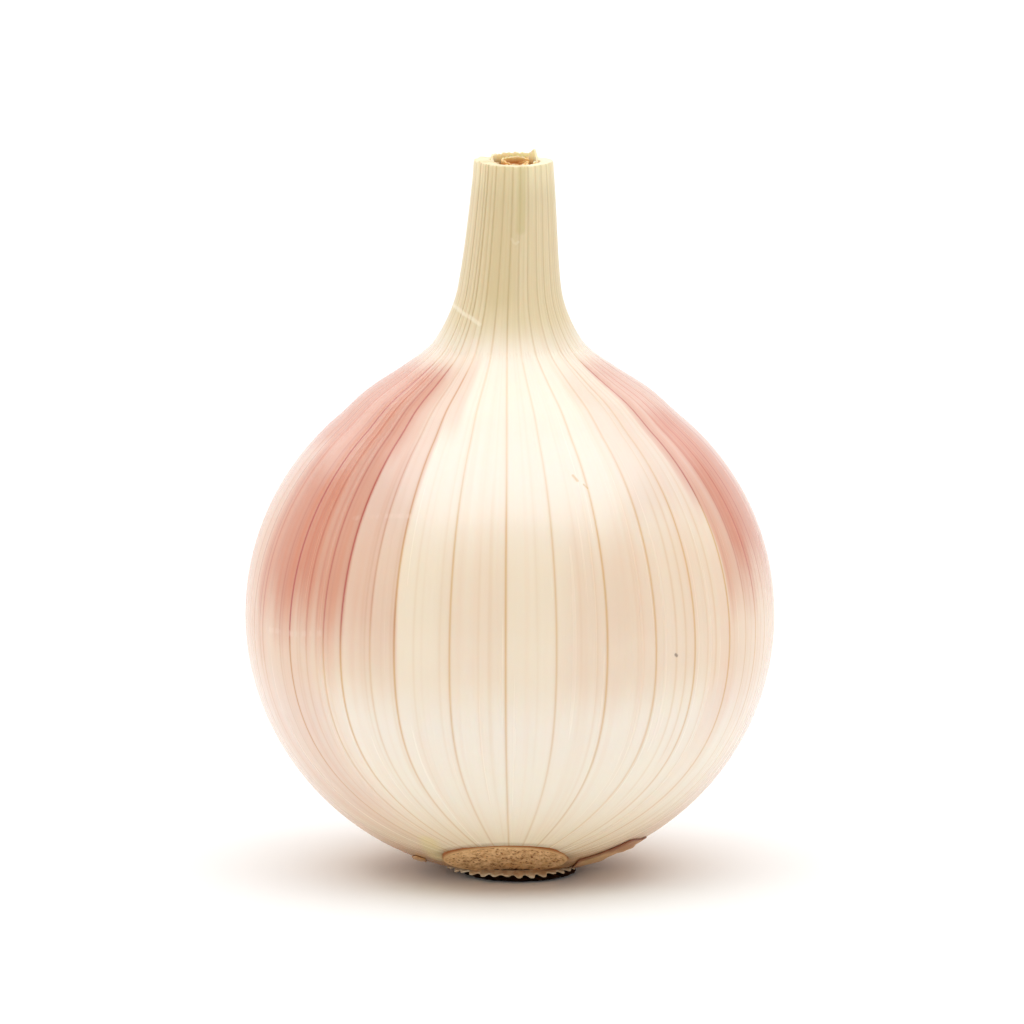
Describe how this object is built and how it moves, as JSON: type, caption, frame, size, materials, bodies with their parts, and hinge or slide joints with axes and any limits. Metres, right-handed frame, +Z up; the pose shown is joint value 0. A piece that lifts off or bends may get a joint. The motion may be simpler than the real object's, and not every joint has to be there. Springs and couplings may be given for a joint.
{
  "type": "pink shallot",
  "caption": "Round pink shallot bulb with a shoulder drawn up into a cut neck, rolled leaves in the cut, and a flat root plate with trimmed roots.",
  "frame": {"origin": "on the surface it stands on, in the middle of the flat rest spot under the root plate", "axes": "+Z up through the neck, -Y towards the side that the root plate leans to, +X to its right seen from that side"},
  "size_m": [0.045, 0.045, 0.0615],
  "materials": {
    "bulb_skin": "waxy satin, pink and cream with fine veins",
    "dried_leaf": "dull fibrous, cream to orange tan",
    "root_cork": "rough granular cork",
    "dry_root": "matt, fibrous, grey tan",
    "dry_skin": "thin, papery, red brown"
  },
  "bodies": {
    "root": {"bulb": "bulb_skin", "neck_inner_sheath": "dried_leaf", "neck_leaf_curl": "dried_leaf", "root_plate": "root_cork", "root_fringe": "dry_root", "dry_skin_flake": "dry_skin", "dry_skin_nub": "dry_skin"}
  },
  "joints": []
}
